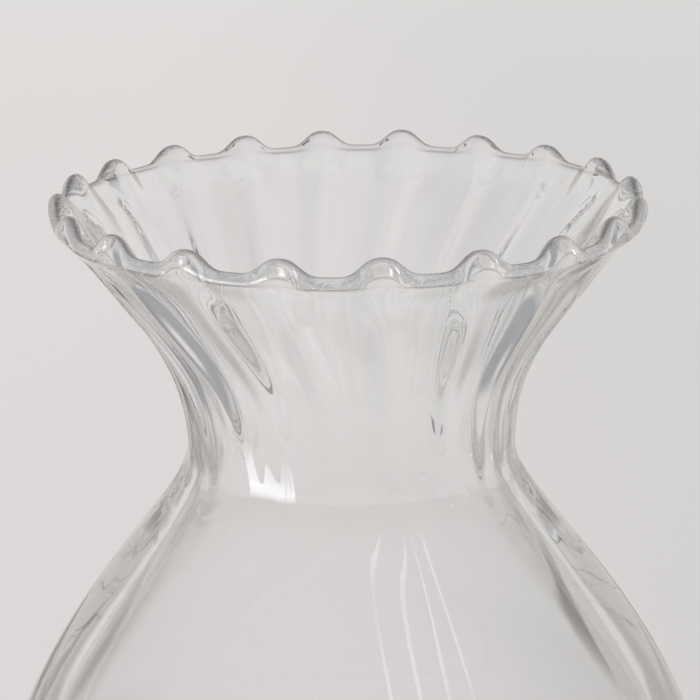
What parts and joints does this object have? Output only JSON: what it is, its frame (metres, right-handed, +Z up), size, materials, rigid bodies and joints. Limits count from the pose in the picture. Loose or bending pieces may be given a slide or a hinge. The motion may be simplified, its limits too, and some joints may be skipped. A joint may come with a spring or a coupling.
{
  "type": "vase",
  "caption": "Clear blown-glass flower vase with a full belly, drawn-in neck, ribbed flaring mouth and a scalloped lip set with glass drops.",
  "frame": {"origin": "on the floor, under the middle of the foot", "axes": "+Z up along the axis of the vase, -Y towards the viewer of the picture, +X to the viewer's right"},
  "size_m": [0.1548, 0.1548, 0.2254],
  "materials": {
    "clear_glass": "fire-polished, clear"
  },
  "bodies": {
    "root": {"foot": "clear_glass", "vessel": "clear_glass", "lip_wrap": "clear_glass", "rim_drop_01": "clear_glass", "rim_drop_02": "clear_glass", "rim_drop_03": "clear_glass", "rim_drop_04": "clear_glass", "rim_drop_05": "clear_glass", "rim_drop_06": "clear_glass", "rim_drop_07": "clear_glass", "rim_drop_08": "clear_glass", "rim_drop_09": "clear_glass", "rim_drop_10": "clear_glass", "rim_drop_11": "clear_glass", "rim_drop_12": "clear_glass", "rim_drop_13": "clear_glass", "rim_drop_14": "clear_glass", "rim_drop_15": "clear_glass", "rim_drop_16": "clear_glass", "rim_drop_17": "clear_glass", "rim_drop_18": "clear_glass", "rim_drop_19": "clear_glass", "rim_drop_20": "clear_glass"}
  },
  "joints": []
}
